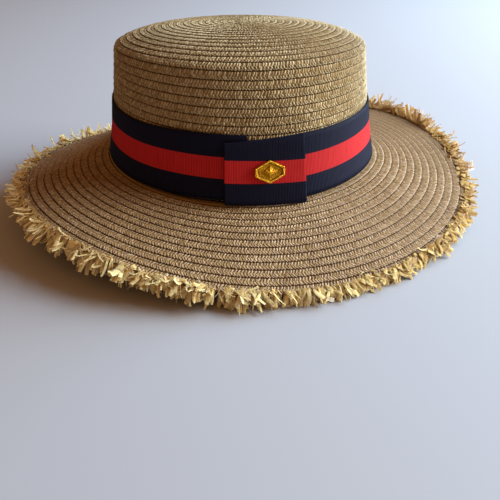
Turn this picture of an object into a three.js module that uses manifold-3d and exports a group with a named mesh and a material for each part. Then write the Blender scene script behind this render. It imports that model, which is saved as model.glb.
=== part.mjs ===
// Straw hat with a low domed crown, a striped ribbon with a badge, and a frayed brim edge.
// Millimetres and radians, +Z up. The front of the hat faces -Y, and the trimmed side, the wearer's right,
// faces -X. A turn is measured from the front, counterclockwise seen from above, so the wearer's right is
// at a turn of 3/4.
import * as THREE from 'three';
import { mergeVertices } from 'three/addons/utils/BufferGeometryUtils.js';
import Module from 'manifold-3d';

const wasm = await Module();
wasm.setup();
const WELD_REACH = 1e-4; // vertices nearer than this are one

// Crown: the half sizes are those of the straw's outside at the head line, where crown and brim meet
const HEAD_HALF_LENGTH = 102.4;
const HEAD_HALF_WIDTH = 83.6;
const HEAD_LINE_HEIGHT = 37; // above the surface that the hat rests on
const WALL_TAPER = 0.111; // the wall draws in by this much for each millimetre of height
const FOOT_FLARE = 1.9; // and by this much more over its lowest part
const FLARE_HEIGHT = 20.8;
const RIM_RADIUS = 6.5; // rounded corner between wall and tip
const SHOULDER_HEIGHT = 84.2; // where that corner meets the tip
const SHOULDER_SLOPE = 0.487; // steepness of the tip there
const TIP_DOME = 12.0; // how far the middle of the tip stands above the shoulder
const CROWN_LEAN = 0.054; // the crown leans this far to the wearer's left for each millimetre of height
const CROWN_SET_BACK = 2.3; // the crown sits this far behind the middle of the brim
const HEAD_LINE_WAVES = [ // the head line's rise and fall round the turn
  { waves: 1, cosine: -3.7, sine: 0.2 },
  { waves: 2, cosine: 3.7, sine: -1.9 },
  { waves: 3, cosine: 0.9, sine: 0.3 },
];

// Sewn straw: rows of braid that lap like shingles, each free edge standing over the next row out
const STRAW_WALL = 2.0;
const CROWN_ROW_PITCH = 5.4;
const BRIM_ROW_PITCH = 5.8;
const ROW_STEP = 0.7;
const ROW_LIP = 0.2; // length of the small slope under a free edge
const RIBBED_DOWN_TO = 42; // rows lower than this are hidden by the ribbon and stay smooth
const SEGMENTS = 44;
const INSIDE_TIP_SHARES = [1, 0.85, 0.65, 0.35, 0]; // where the tip's inside bends, from shoulder to middle
const ROWS_PER_BEND = 3; // the brim's underside bends once in so many rows

// Brim: the edge's height below the head line is a mean drop plus a few waves round the turn
const BRIM_WIDTH = 73.9;
const EDGE_DROP = 19.9;
const EDGE_WAVES = [
  { waves: 2, cosine: 6.4, sine: 9.3 },
  { waves: 3, cosine: -0.7, sine: 1.2 },
  { waves: 4, cosine: -1.8, sine: 0 },
];
const BRIM_CURVE = 1.12; // 1 is a straight slope, more keeps the brim flatter near the crown

// Ribbon: a strip round the foot of the crown, whose upper end lies over its start
const SEAT_GAP = 0.3;
const RIBBON_THICKNESS = 0.9;
const RIBBON_WIDTH = 43.2;
const RIBBON_FOOT = -0.8; // lower edge against the head line
const RIBBON_START_TURN = 1.485 * Math.PI;
const RIBBON_OVERLAP_TURN = 0.075;
const RIBBON_END_RISE = 2.0; // the end that lies on top sits this much higher
const RIBBON_END_RAMP = 0.16; // share of the strip over which it rises and moves out
const RIBBON_START_DROP = 1.8; // the upper edge of its start is drawn down by this much
const RIBBON_START_RAMP = 0.075; // over this share of the strip
const RIBBON_STEPS = 60;
const RIBBON_ROWS = 2; // it bends where the wall's flare begins

// Keeper: a flat tab of ribbon, folded double, over the overlap
const KEEPER_WIDTH = 55.2;
const KEEPER_HEIGHT = 43.2;
const KEEPER_THICKNESS = 2.0;
const KEEPER_FOOT = -1.2;
const KEEPER_TILT = -1.0; // its front end sits this much off its middle's level, its other end the other way
const KEEPER_SLANT = 2.9; // its upper edge runs up to the front by this much, against its lower edge
const KEEPER_TURN = 1.5 * Math.PI + 0.145;
const KEEPER_END_STAND = 1.7; // its ends stand off the curved crown by this much
const KEEPER_STEPS = 14;
const KEEPER_PROBE = 0.05; // share of the keeper to each side of the points that give its directions

// Badge: a six-sided plate with a raised border and a faceted lozenge in the middle
const BADGE_WIDTH = 20.4;
const BADGE_HEIGHT = 16.0;
const BADGE_SIDE = 5.6; // length of its two upright sides
const BADGE_PLATE = 1.2;
const BADGE_BORDER_WIDTH = 1.7;
const BADGE_BORDER_RISE = 0.9;
const BADGE_LOZENGE_WIDTH = 11.5;
const BADGE_LOZENGE_HEIGHT = 8.0;
const BADGE_LOZENGE_RISE = 1.5;
const BADGE_LOZENGE_TABLE = 0.3; // size of its flat top against its foot
const BADGE_SHIFT = 2.4; // along the keeper, towards the front
const BADGE_UP = 0.535; // share of the keeper's height at which its middle lies

// Fringe: frayed locks fused to a narrow backing round the edge of the brim
const BACKING_WIDTH = 3.0;
const BACKING_THICKNESS = 2.4;
const LOCK_COUNT = 84;
const LOCK_LENGTH = 12.0;
const LOCK_LENGTH_SPREAD = 0.22; // the shortest lock lacks this share of that length
const LOCK_PLACE_SPREAD = 0.1; // locks move along the edge by this share of their spacing
const LOCK_ROOT_WIDTH = 11.0;
const LOCK_TIP_WIDTH = 6.0;
const LOCK_ROOT_THICKNESS = 1.9;
const LOCK_TIP_THICKNESS = 3.2; // the strands of a lock spread towards its tip
const LOCK_LIFT_SPREAD = 4.5; // locks bend up and down by this much
const LOCK_SWEEP_SPREAD = 5.0; // and lean sideways by this much
const REST_SAG = 8.5; // locks hang down to the surface where the brim's edge is no higher than this
const REST_REACH = 0.75; // and then reach out by this share of their length
const SCATTER = { index: 12.9898, seed: 78.233, stretch: 43758.5453 }; // any uneven factors serve

// Values that follow from these
const OVAL = HEAD_HALF_LENGTH - HEAD_HALF_WIDTH; // rows keep this difference from length to width
const WALL_ANGLE = Math.atan(WALL_TAPER);
const CROWN_TOP = SHOULDER_HEIGHT + TIP_DOME;
const RIM_HEIGHT = SHOULDER_HEIGHT - RIM_RADIUS * Math.cos(SHOULDER_SLOPE); // middle of the corner's arc
const RIM_REACH = wallRadius(RIM_HEIGHT) - RIM_RADIUS / Math.cos(WALL_ANGLE);
const RIM_SWEEP = Math.PI / 2 - WALL_ANGLE - SHOULDER_SLOPE;
const TIP_EDGE = RIM_REACH + RIM_RADIUS * Math.sin(SHOULDER_SLOPE);
const TIP_POWER = (Math.tan(SHOULDER_SLOPE) * TIP_EDGE) / TIP_DOME; // 2 is an even dome, more a flatter one
const WALL_TOP = RIM_HEIGHT + RIM_RADIUS * Math.sin(WALL_ANGLE);
const TIP_STOPS = 200;
const TIP_PATH = tipPath(); // distances along the crown's outside, from the middle of its tip
const RIM_START = TIP_PATH[TIP_STOPS];
const WALL_START = RIM_START + RIM_RADIUS * RIM_SWEEP;
const CROWN_PATH = WALL_START + WALL_TOP / Math.cos(WALL_ANGLE);
const BRIM_INNER = HEAD_HALF_LENGTH - STRAW_WALL;
const BRIM_OUTER = HEAD_HALF_LENGTH + BRIM_WIDTH;
const RIBBON_SEAT = ROW_STEP + SEAT_GAP; // the ribbon lies on the rows' free edges

function wallRadius(height) {
  return HEAD_HALF_LENGTH - WALL_TAPER * height - FOOT_FLARE * Math.min(height / FLARE_HEIGHT, 1);
}

function tipHeight(radius) {
  return SHOULDER_HEIGHT + TIP_DOME * (1 - (radius / TIP_EDGE) ** TIP_POWER);
}

// Distance along the tip from its middle to each of many evenly spaced radii
function tipPath() {
  const path = [0];
  const step = TIP_EDGE / TIP_STOPS;
  for (let stop = 1; stop <= TIP_STOPS; stop += 1) {
    const rise = tipHeight(stop * step) - tipHeight((stop - 1) * step);
    path.push(path[stop - 1] + Math.hypot(step, rise));
  }
  return path;
}

// Radius on the tip at a distance along it, between the two nearest stops
function tipRadius(along) {
  const stop = Math.max(TIP_PATH.findIndex((length) => length >= along), 1);
  const share = (along - TIP_PATH[stop - 1]) / (TIP_PATH[stop] - TIP_PATH[stop - 1]);
  return ((stop - 1 + share) * TIP_EDGE) / TIP_STOPS;
}

function waveSum(table, turn) {
  return table.reduce(
    (sum, { waves, cosine, sine }) => sum + cosine * Math.cos(waves * turn) + sine * Math.sin(waves * turn),
    0,
  );
}

// Half width of an oval row whose half length is radius: parallel rows on the wall, shrinking ones on the tip
function halfWidth(radius) {
  return radius > TIP_EDGE ? radius - OVAL : radius * (1 - OVAL / TIP_EDGE);
}

// Point of the crown at a half length, a turn and a height above the head line
function crownPoint(radius, turn, height) {
  const share = Math.min(Math.max(height / CROWN_TOP, 0), 1) ** 2;
  const x = halfWidth(radius) * Math.sin(turn);
  const bend = waveSum(HEAD_LINE_WAVES, turn) * (1 - share);
  return new THREE.Vector3(
    x + CROWN_LEAN * height,
    CROWN_SET_BACK - radius * Math.cos(turn),
    HEAD_LINE_HEIGHT + height + bend - CROWN_LEAN * x * share,
  );
}

// Height of the brim's edge at a turn
function edgeHeight(turn) {
  return HEAD_LINE_HEIGHT - EDGE_DROP + waveSum(EDGE_WAVES, turn);
}

// Point of the brim at a half length and a turn, lifted off its upper face
function brimPoint(radius, turn, lift) {
  const out = Math.max((radius - BRIM_INNER) / (BRIM_OUTER - BRIM_INNER), 0);
  const slope = Math.min(out, 1) ** BRIM_CURVE;
  const headLine = HEAD_LINE_HEIGHT + waveSum(HEAD_LINE_WAVES, turn) - 2 * SEAT_GAP;
  return new THREE.Vector3(
    (radius - OVAL) * Math.sin(turn),
    CROWN_SET_BACK * (1 - Math.min(out, 1)) - radius * Math.cos(turn),
    headLine * (1 - slope) + edgeHeight(turn) * slope + lift,
  );
}

// Closed mesh with shared vertices and no empty triangles, from any geometry
function weld(geometry) {
  const bare = geometry.clone();
  for (const name of Object.keys(bare.attributes)) {
    if (name !== 'position') bare.deleteAttribute(name);
  }
  const merged = mergeVertices(bare, WELD_REACH);
  const index = Array.from(merged.index.array);
  const kept = [];
  for (let i = 0; i < index.length; i += 3) {
    const [a, b, c] = index.slice(i, i + 3);
    if (a !== b && b !== c && c !== a) kept.push(a, b, c);
  }
  merged.setIndex(kept);
  return merged;
}

// Moves every vertex of a geometry to the point that place gives for its old one
function reshape(geometry, place) {
  const position = geometry.attributes.position;
  const old = new THREE.Vector3();
  for (let i = 0; i < position.count; i += 1) {
    const moved = place(old.fromBufferAttribute(position, i));
    position.setXYZ(i, moved.x, moved.y, moved.z);
  }
  return geometry;
}

// Turned solid: its profile of radius and height runs counterclockwise, and place(radius, turn, height) lays
// it out
function turned(profile, place) {
  const ring = weld(new THREE.LatheGeometry(profile, SEGMENTS)).rotateX(Math.PI / 2);
  return reshape(ring, (p) => place(Math.hypot(p.x, p.y), Math.atan2(p.x, -p.y), p.z));
}

// Strip of ribbon: place(along, up, out) gets three shares from 0 to 1
function strip(steps, rows, place) {
  const slab = weld(new THREE.BoxGeometry(1, 1, 1, steps, rows, 1));
  return reshape(slab, (p) => place(p.x + 0.5, p.y + 0.5, p.z + 0.5));
}

function toSolid(geometry) {
  const welded = weld(geometry);
  const vertProperties = new Float32Array(welded.attributes.position.array);
  const triVerts = new Uint32Array(welded.index.array);
  return new wasm.Manifold(new wasm.Mesh({ numProp: 3, vertProperties, triVerts }));
}

function fuse(geometries) {
  const joined = geometries.map(toSolid).reduce((whole, piece) => whole.add(piece));
  const { vertProperties, triVerts } = joined.getMesh();
  const geometry = new THREE.BufferGeometry();
  geometry.setAttribute('position', new THREE.BufferAttribute(vertProperties, 3));
  geometry.setIndex(new THREE.BufferAttribute(triVerts, 1));
  return geometry;
}

function lerp(a, b, share) {
  return a + (b - a) * share;
}

// Point of the crown's outside at a distance along it from the tip's middle, moved out along its normal
function crownProfile(along, out) {
  if (along < RIM_START) {
    const radius = tipRadius(along);
    const slope = Math.atan(Math.tan(SHOULDER_SLOPE) * (radius / TIP_EDGE) ** (TIP_POWER - 1));
    return new THREE.Vector2(radius + out * Math.sin(slope), tipHeight(radius) + out * Math.cos(slope));
  }
  if (along < WALL_START) {
    const slope = SHOULDER_SLOPE + (along - RIM_START) / RIM_RADIUS;
    const reach = RIM_RADIUS + out;
    return new THREE.Vector2(RIM_REACH + reach * Math.sin(slope), RIM_HEIGHT + reach * Math.cos(slope));
  }
  const height = WALL_TOP - (along - WALL_START) * Math.cos(WALL_ANGLE);
  const radius = wallRadius(height);
  return new THREE.Vector2(radius + out * Math.cos(WALL_ANGLE), height + out * Math.sin(WALL_ANGLE));
}

function crown() {
  const rows = Math.round(CROWN_PATH / CROWN_ROW_PITCH);
  const pitch = CROWN_PATH / rows;
  const buttonTop = CROWN_TOP + ROW_STEP;
  const outside = [new THREE.Vector2(0, buttonTop), new THREE.Vector2(pitch, buttonTop)];
  let along = pitch;
  while (crownProfile(along, 0).y > RIBBED_DOWN_TO) {
    outside.push(crownProfile(along + ROW_LIP, 0), crownProfile(along + pitch, ROW_STEP));
    along += pitch;
  }
  const flareTop = lerp(CROWN_PATH, WALL_START, FLARE_HEIGHT / WALL_TOP);
  const outsideStops = [along + ROW_LIP, flareTop, CROWN_PATH];
  outside.push(...outsideStops.map((stop) => crownProfile(stop, 0)));
  const tipStops = INSIDE_TIP_SHARES.map((share) => share * RIM_START);
  const insideStops = [CROWN_PATH, flareTop, lerp(flareTop, WALL_START, 1 / 2), WALL_START, ...tipStops];
  const inside = insideStops.map((stop) => crownProfile(stop, -STRAW_WALL));
  return turned([...outside, ...inside].reverse(), crownPoint);
}

function brim() {
  const rows = Math.round((BRIM_OUTER - BRIM_INNER) / BRIM_ROW_PITCH);
  const pitch = (BRIM_OUTER - BRIM_INNER) / rows;
  const above = [new THREE.Vector2(BRIM_INNER, -ROW_STEP)];
  const below = [];
  for (let row = 0; row < rows; row += 1) {
    const start = BRIM_INNER + row * pitch;
    const shown = start > HEAD_HALF_LENGTH ? 0 : -ROW_STEP; // the seat of the crown stays smooth
    if (row > 0) above.push(new THREE.Vector2(start + ROW_LIP, -ROW_STEP));
    above.push(new THREE.Vector2(start + pitch, shown));
    if (row % ROWS_PER_BEND === 0) below.push(new THREE.Vector2(start, -ROW_STEP - STRAW_WALL));
  }
  below.push(new THREE.Vector2(BRIM_OUTER, -STRAW_WALL));
  return turned([...below, ...above.reverse(), below[0].clone()], brimPoint);
}

function ribbonBand() {
  const length = 2 * Math.PI + RIBBON_OVERLAP_TURN;
  return strip(RIBBON_STEPS, RIBBON_ROWS, (along, up, out) => {
    const turn = RIBBON_START_TURN + along * length;
    const ramp = THREE.MathUtils.smoothstep(along, 1 - RIBBON_END_RAMP, 1 - RIBBON_END_RAMP / 3);
    const drop = RIBBON_START_DROP * (1 - THREE.MathUtils.smoothstep(along, 0, RIBBON_START_RAMP));
    const height = RIBBON_FOOT + up * (RIBBON_WIDTH - drop) + RIBBON_END_RISE * ramp;
    const layer = RIBBON_SEAT + ramp * (RIBBON_THICKNESS + SEAT_GAP);
    return crownPoint(wallRadius(height) + layer + out * RIBBON_THICKNESS, turn, height);
  });
}

// Point on the keeper at shares across, up and out: it is straight from foot to top, over the band's bend
function keeperPoint(across, up, out) {
  const side = 2 * across - 1;
  const height = KEEPER_FOOT + up * KEEPER_HEIGHT + (KEEPER_TILT + KEEPER_SLANT * up) * side;
  const wall = lerp(wallRadius(KEEPER_FOOT), wallRadius(KEEPER_FOOT + KEEPER_HEIGHT), up);
  const under = RIBBON_SEAT + 2 * (RIBBON_THICKNESS + SEAT_GAP);
  const radius = wall + under + KEEPER_END_STAND * side ** 2 + out * KEEPER_THICKNESS;
  const turn = KEEPER_TURN + (side * KEEPER_WIDTH) / 2 / HEAD_HALF_LENGTH;
  return crownPoint(radius, turn, height);
}

function ribbonKeeper() {
  return strip(KEEPER_STEPS, 1, keeperPoint);
}

function hexagon(width, height, side) {
  const corners = [
    [width / 2, -side / 2], [width / 2, side / 2], [0, height / 2],
    [-width / 2, side / 2], [-width / 2, -side / 2], [0, -height / 2],
  ];
  return new THREE.Shape(corners.map(([across, up]) => new THREE.Vector2(across, up)));
}

function badge() {
  const plate = new THREE.ExtrudeGeometry(
    hexagon(BADGE_WIDTH, BADGE_HEIGHT, BADGE_SIDE),
    { depth: BADGE_PLATE, bevelEnabled: false },
  );
  const border = hexagon(BADGE_WIDTH, BADGE_HEIGHT, BADGE_SIDE);
  const inset = 2 * BADGE_BORDER_WIDTH;
  border.holes.push(hexagon(BADGE_WIDTH - inset, BADGE_HEIGHT - inset, BADGE_SIDE - inset / 2));
  const raised = new THREE.ExtrudeGeometry(
    border,
    { depth: BADGE_PLATE + BADGE_BORDER_RISE, bevelEnabled: false },
  );
  const lozengeDepth = BADGE_PLATE / 2 + BADGE_LOZENGE_RISE;
  const lozenge = new THREE.CylinderGeometry(BADGE_LOZENGE_TABLE, 1, lozengeDepth, 4);
  lozenge.rotateX(Math.PI / 2);
  lozenge.scale(BADGE_LOZENGE_WIDTH / 2, BADGE_LOZENGE_HEIGHT / 2, 1);
  lozenge.translate(0, 0, BADGE_PLATE / 2 + lozengeDepth / 2);
  return fuse([plate, raised, lozenge]);
}

// Share from -1 to 1 that looks random but is the same every time
function scatter(index, seed) {
  const wave = Math.sin(index * SCATTER.index + seed * SCATTER.seed) * SCATTER.stretch;
  return 2 * (wave - Math.floor(wave)) - 1;
}

function lock(index) {
  const turn = ((index + LOCK_PLACE_SPREAD * scatter(index, 1)) / LOCK_COUNT) * 2 * Math.PI;
  const rootHeight = edgeHeight(turn) - STRAW_WALL / 2;
  const rests = rootHeight < REST_SAG;
  const reach = LOCK_LENGTH * (1 - LOCK_LENGTH_SPREAD * Math.abs(scatter(index, 2)));
  const length = rests ? reach * REST_REACH : reach;
  const sweep = LOCK_SWEEP_SPREAD * scatter(index, 3);
  const lift = rests ? -rootHeight : LOCK_LIFT_SPREAD * scatter(index, 4);
  return strip(1, 1, (across, outward, up) => {
    const width = lerp(LOCK_ROOT_WIDTH, LOCK_TIP_WIDTH, outward);
    const thickness = lerp(LOCK_ROOT_THICKNESS, LOCK_TIP_THICKNESS, outward);
    const radius = BRIM_OUTER + SEAT_GAP + BACKING_WIDTH / 2 + outward * length;
    const aside = (0.5 - across) * width + sweep * outward;
    const point = brimPoint(radius, turn + aside / BRIM_OUTER, (up - 0.5) * thickness - STRAW_WALL / 2);
    point.z = Math.max(point.z + lift * outward, 0);
    return point;
  });
}

function brimFringe() {
  const inner = BRIM_OUTER + SEAT_GAP;
  const outer = inner + BACKING_WIDTH;
  const low = -STRAW_WALL / 2 - BACKING_THICKNESS / 2;
  const high = low + BACKING_THICKNESS;
  const section = [[inner, low], [outer, low], [outer, high], [inner, high], [inner, low]];
  const backing = turned(section.map(([radius, lift]) => new THREE.Vector2(radius, lift)), brimPoint);
  const locks = Array.from({ length: LOCK_COUNT }, (_, index) => lock(index));
  return fuse([backing, ...locks]);
}

// Finishes
const straw = new THREE.MeshStandardMaterial({ color: 0xa98a5e, roughness: 0.75, metalness: 0 });
const frayedStraw = new THREE.MeshStandardMaterial({ color: 0xc09a58, roughness: 0.7, metalness: 0 });
const ribbon = new THREE.MeshStandardMaterial({ color: 0x1a2030, roughness: 0.8, metalness: 0 });
const gilt = new THREE.MeshStandardMaterial({ color: 0xc99a2e, roughness: 0.3, metalness: 1 });

function named(name, geometry, material) {
  const mesh = new THREE.Mesh(geometry, material);
  mesh.name = name;
  return mesh;
}

const hat = new THREE.Group();
hat.add(
  named('crown', crown(), straw),
  named('brim', brim(), straw),
  named('ribbon_band', ribbonBand(), ribbon),
  named('ribbon_keeper', ribbonKeeper(), ribbon),
  named('brim_fringe', brimFringe(), frayedStraw),
);

// The badge lies flat on the keeper's middle, its upright axis up the wall
const badgeMesh = named('badge', badge(), gilt);
const middle = 0.5 + BADGE_SHIFT / KEEPER_WIDTH;
const face = keeperPoint(middle, BADGE_UP, 1);
const before = keeperPoint(middle - KEEPER_PROBE, BADGE_UP, 1);
const after = keeperPoint(middle + KEEPER_PROBE, BADGE_UP, 1);
const under = keeperPoint(middle, BADGE_UP - KEEPER_PROBE, 1);
const over = keeperPoint(middle, BADGE_UP + KEEPER_PROBE, 1);
const acrossKeeper = after.sub(before).normalize();
const upKeeper = over.sub(under).normalize();
const outKeeper = new THREE.Vector3().crossVectors(acrossKeeper, upKeeper).normalize();
const turnOnKeeper = new THREE.Matrix4().makeBasis(acrossKeeper, upKeeper, outKeeper);
badgeMesh.quaternion.setFromRotationMatrix(turnOnKeeper);
badgeMesh.position.copy(face).addScaledVector(outKeeper, SEAT_GAP);
hat.add(badgeMesh);

export default hat;
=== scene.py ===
# %% [markdown]
# # A straw boater with a striped ribbon and a frayed brim
# The real hat is sewn from one long paper braid. The braid starts as a tight spiral in the middle of
# the crown's low dome, runs down the side and goes on round the brim, each row lapping over the next
# like shingles. A ribbon with a folded keeper and a small gilt badge goes round the crown, and the brim
# ends in frayed straw. The solids hold the sizes. Here each of them gets its surface, in the same
# frame, in metres.

import bpy
import numpy as np
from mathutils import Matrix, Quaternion, Vector


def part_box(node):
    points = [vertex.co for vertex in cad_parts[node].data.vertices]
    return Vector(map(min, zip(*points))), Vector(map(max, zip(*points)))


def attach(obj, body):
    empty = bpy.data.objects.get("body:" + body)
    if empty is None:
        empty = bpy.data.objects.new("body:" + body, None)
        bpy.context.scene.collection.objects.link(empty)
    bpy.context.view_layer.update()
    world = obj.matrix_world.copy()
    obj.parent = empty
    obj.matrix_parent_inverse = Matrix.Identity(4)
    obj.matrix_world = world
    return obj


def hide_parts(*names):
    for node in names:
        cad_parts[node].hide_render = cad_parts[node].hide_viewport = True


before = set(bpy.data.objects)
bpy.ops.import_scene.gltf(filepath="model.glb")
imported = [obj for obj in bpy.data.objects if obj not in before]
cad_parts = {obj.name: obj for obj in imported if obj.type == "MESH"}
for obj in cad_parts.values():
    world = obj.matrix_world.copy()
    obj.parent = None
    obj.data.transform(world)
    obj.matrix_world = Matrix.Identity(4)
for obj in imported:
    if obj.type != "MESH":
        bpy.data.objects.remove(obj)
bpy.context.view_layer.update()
MM = 0.001
TURN = 2 * np.pi
BODY = "root"

# %% [markdown]
# ## The camera
# A camera can be placed by angles or by two points and a roll. Two points are easier to read: where it
# stands, and what it looks at. It stands on the trimmed side of the hat, about half a metre away, and
# looks down on it.

# %% Camera
CAMERA_PLACE = Vector((-0.44409, 0.00708, 0.22732))
CAMERA_AIM = Vector((0.0, -0.00362, -0.06121))
CAMERA_ROLL = -0.0081
LENS = 42.45
SENSOR = 36.0


def add_object(name, data):
    """New object in the scene."""
    thing = bpy.data.objects.new(name, data)
    bpy.context.scene.collection.objects.link(thing)
    return thing


def aim_object(thing, place, target, roll=0.0):
    """Puts a camera or lamp at a place, turns it towards a target and rolls it about its sight."""
    sight = (target - place).to_track_quat("-Z", "Y")
    thing.location = place
    thing.rotation_mode = "QUATERNION"
    thing.rotation_quaternion = sight @ Quaternion((0, 0, 1), roll)


camera = add_object("camera", bpy.data.cameras.new("camera"))
camera.data.lens = LENS
camera.data.sensor_width = SENSOR
aim_object(camera, CAMERA_PLACE, CAMERA_AIM, CAMERA_ROLL)
bpy.context.scene.camera = camera
print("camera", round((CAMERA_AIM - CAMERA_PLACE).length, 3), "m from its aim")

# %% [markdown]
# ## Meshes from arrays
# Every piece below is a grid of points that a formula gives in one go. Three helpers turn such grids
# into meshes: one lists the faces between neighbouring points, one turns the faces outwards, and one
# hands the arrays to Blender with foreach_set, which is far quicker than adding vertices one by one.
# Another says which body a piece rides on and which solids it stands for.

# %% Points and faces of tubes
def stacked(*parts):
    """Points or UVs from their values, each an array of any shape that fits the others."""
    return np.stack(np.broadcast_arrays(*parts), -1)


def loop_faces(tubes, rings, around, joined=False):
    """Corners of the faces of many tubes at once. Each tube has rings loops of around points. Its ends
    are closed by one face each, unless the last ring is joined to the first."""
    index = np.arange(tubes * rings * around).reshape(tubes, rings, around)
    here = index if joined else index[:, :-1]
    there = np.roll(index, -1, 1) if joined else index[:, 1:]
    sides = np.stack([here, np.roll(here, -1, 2), np.roll(there, -1, 2), there], -1).reshape(-1, 4)
    caps = np.concatenate([index[:, 0, ::-1], index[:, -1]])
    return [sides] if joined else [sides, caps]


def outward(points, faces):
    """The same faces, all turned over if they enclose a negative volume, which is summed over triangles
    from the origin."""
    volume = 0.0
    for corners in faces:
        for step in range(1, corners.shape[1] - 1):
            a, b, c = (points[corners[:, k]] for k in (0, step, step + 1))
            volume += np.einsum("ij,ij->", a, np.cross(b, c)) / 6
    return faces if volume > 0 else [corners[:, ::-1] for corners in faces]


# %% From arrays to pieces
def make_piece(name, points, faces, material, uv=None, **attributes):
    """Smooth mesh object from arrays: points, lists of face corners, a UV and values for each point."""
    points = np.asarray(points, float).reshape(-1, 3)
    faces = outward(points, faces)
    corners = np.concatenate([f.ravel() for f in faces]).astype(np.int32)
    sizes = np.concatenate([np.full(len(f), f.shape[1]) for f in faces])
    mesh = bpy.data.meshes.new(name)
    mesh.vertices.add(len(points))
    mesh.vertices.foreach_set("co", points.astype(np.float32).ravel())
    mesh.loops.add(len(corners))
    mesh.loops.foreach_set("vertex_index", corners)
    mesh.polygons.add(len(sizes))
    mesh.polygons.foreach_set("loop_start", (np.cumsum(sizes) - sizes).astype(np.int32))
    if uv is not None:
        layer = mesh.uv_layers.new(name="weave")
        layer.data.foreach_set("uv", np.asarray(uv, np.float32).reshape(-1, 2)[corners].ravel())
    for key, values in attributes.items():
        field = mesh.attributes.new(key, "FLOAT", "POINT")
        field.data.foreach_set("value", np.asarray(values, np.float32).ravel())
    mesh.update(calc_edges=True)
    mesh.shade_smooth()
    mesh.materials.append(material)
    piece = add_object(name, mesh)
    print(name, len(points), "points,", int((sizes - 2).sum()), "triangles")
    return piece


def dress(piece, slot, *nodes):
    """Lets a piece ride with the hat and lets it stand for solids. Its slot is not used."""
    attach(piece, BODY)
    if nodes:
        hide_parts(*nodes)


# %% [markdown]
# ## Shader tools
# Nodes are easier to read when one short call adds a node, sets what is constant and links what is not.
# Two effects are used by more than one finish, so each is a node group: the fine fibres of straw, and
# the slow change of colour over the whole hat that handling and sun leave.

# %% Node helpers
def feed(tree, node, inputs):
    """Sets or links a node's inputs, which are given by name or by number."""
    for key, value in inputs.items():
        if isinstance(value, bpy.types.NodeSocket):
            tree.links.new(value, node.inputs[key])
        else:
            node.inputs[key].default_value = value


def put(tree, kind, inputs=None, **options):
    """Adds a node, sets its options and feeds its inputs."""
    node = tree.nodes.new(kind)
    for key, value in options.items():
        setattr(node, key, value)
    feed(tree, node, inputs or {})
    return node


def calc(tree, operation, first, second=0.0, third=0.0):
    """Output of a math node on two or three values or sockets."""
    return put(tree, "ShaderNodeMath", {0: first, 1: second, 2: third}, operation=operation).outputs[0]


def zigzag(tree, value):
    """Output that rises from 0 to a half and falls back to 0 in every unit of the value."""
    return calc(tree, "PINGPONG", value, 0.5)


def mix_colour(tree, factor, first, second, blend="MIX"):
    """Output of a colour mix from first to second."""
    options = {"data_type": "RGBA", "blend_type": blend, "clamp_factor": True}
    return put(tree, "ShaderNodeMix", {0: factor, 6: first, 7: second}, **options).outputs[2]


def remap(tree, value, low, high, new_low, new_high):
    """Output that runs from new_low to new_high as value runs from low to high."""
    inputs = {"Value": value, "From Min": low, "From Max": high, "To Min": new_low, "To Max": new_high}
    return put(tree, "ShaderNodeMapRange", inputs).outputs[0]


def noise(tree, place, scale, detail):
    """Output of a noise texture."""
    return put(tree, "ShaderNodeTexNoise", {"Vector": place, "Scale": scale, "Detail": detail}).outputs[0]


def bump(tree, height, depth):
    """Normal of a fine relief, with its depth in metres."""
    return put(tree, "ShaderNodeBump", {"Height": height, "Distance": depth, "Strength": 1.0}).outputs[0]


# %% Groups, finishes and what they read
def new_group(name, inputs, outputs):
    """Empty shader group with named sockets, and its inlet and outlet nodes."""
    group = bpy.data.node_groups.new(name, "ShaderNodeTree")
    for side, sockets in (("INPUT", inputs), ("OUTPUT", outputs)):
        for key, kind in sockets.items():
            group.interface.new_socket(key, in_out=side, socket_type="NodeSocket" + kind)
    return group, group.nodes.new("NodeGroupInput").outputs, group.nodes.new("NodeGroupOutput")


def new_finish(name):
    """New material, its node tree and its shader."""
    material = bpy.data.materials.new(name)
    material.use_nodes = True
    return material, material.node_tree, material.node_tree.nodes["Principled BSDF"]


def own(tree, name):
    """A value that the mesh keeps for each point."""
    return put(tree, "ShaderNodeAttribute", attribute_name=name).outputs["Fac"]


def object_place(tree):
    """The place in the hat's own frame."""
    return put(tree, "ShaderNodeTexCoord").outputs["Object"]


def weave_map(tree):
    """The mesh's own UV map."""
    return put(tree, "ShaderNodeUVMap", uv_map="weave").outputs["UV"]


def split(tree, place):
    """The two values of a UV."""
    return put(tree, "ShaderNodeSeparateXYZ", {0: place}).outputs[:2]


def linear(red, green, blue):
    """Colour for a shader from the usual 0 to 255 values, along the sRGB curve."""
    share = np.array([red, green, blue]) / 255
    return (*np.where(share <= 0.04045, share / 12.92, ((share + 0.055) / 1.055) ** 2.4), 1.0)


# %% The straw fibre group
FIBRE_STRETCH = 1.3
FIBRE_SHIFT = 61.0
FIBRE_DETAIL = 2.0
FIBRE_RANGE = 0.3, 0.7
FIBRE_TONE_SHARE = 0.75
FIBRE_STREAK_SHARE = 0.3
FIBRE_ROUGHNESS = 0.75, 0.5

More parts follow.
